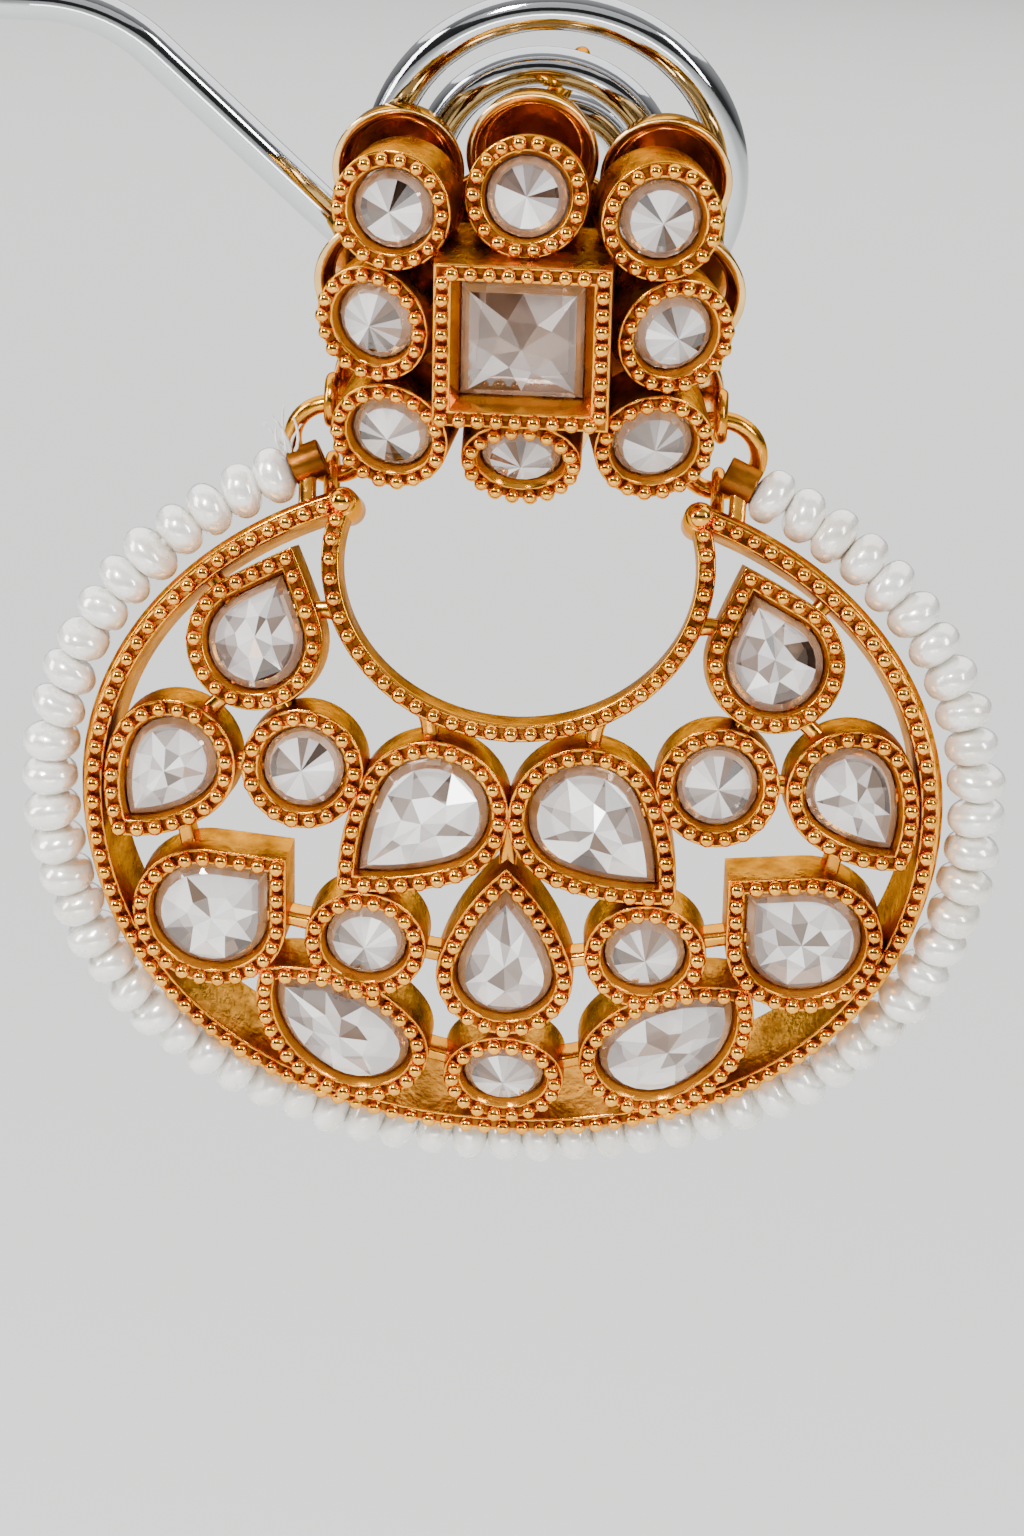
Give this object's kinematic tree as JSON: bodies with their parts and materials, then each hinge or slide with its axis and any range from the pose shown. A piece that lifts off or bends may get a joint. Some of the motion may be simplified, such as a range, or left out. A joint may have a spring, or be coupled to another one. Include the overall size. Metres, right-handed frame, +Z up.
{
  "type": "chandbali drop earring on a plain wire display hook",
  "caption": "Chandbali earring: square and round stone-set stud, hinged crescent drop with pear and round stones, beaded rims and a pearl edge, hung on a plain coiled wire hook.",
  "frame": {"origin": "where the ear post sits on the back of the stud's top scallop", "axes": "+Z up, the stones face -Y, +X to the right of somebody who looks at the stones; the earring hangs free, leaned forward"},
  "size_m": [0.0542, 0.0179, 0.0624],
  "materials": {
    "gold_plate": "polished with a warm antique tone",
    "clear_stone": "clear, cut",
    "pearl": "pearl lustre",
    "thread": "matte",
    "chrome_wire": "mirror"
  },
  "bodies": {
    "stud": {"display_hook": "chrome_wire", "stud_frame": "gold_plate", "stud_stone_bottom": "clear_stone", "stud_stone_bottom_left": "clear_stone", "stud_stone_bottom_right": "clear_stone", "stud_stone_left": "clear_stone", "stud_stone_right": "clear_stone", "stud_stone_square": "clear_stone", "stud_stone_top": "clear_stone", "stud_stone_top_left": "clear_stone", "stud_stone_top_right": "clear_stone"},
    "drop": {"drop_frame": "gold_plate", "jump_ring_left": "gold_plate", "jump_ring_right": "gold_plate", "pearl_string": "pearl", "pearl_thread": "thread", "stone_bottom": "clear_stone", "stone_brow_left": "clear_stone", "stone_brow_right": "clear_stone", "stone_foot_left": "clear_stone", "stone_foot_right": "clear_stone", "stone_horn_left": "clear_stone", "stone_horn_right": "clear_stone", "stone_inner_left": "clear_stone", "stone_inner_right": "clear_stone", "stone_leaf_left": "clear_stone", "stone_leaf_right": "clear_stone", "stone_middle": "clear_stone", "stone_outer_left": "clear_stone", "stone_outer_right": "clear_stone", "stone_side_left": "clear_stone", "stone_side_right": "clear_stone"}
  },
  "joints": [
    {"name": "drop_swing", "type": "hinge", "parent": "stud", "child": "drop", "pos_m": [0, 0.00234, -0.01474], "axis": [1, 0, 0], "range_deg": [-12, 12]}
  ]
}
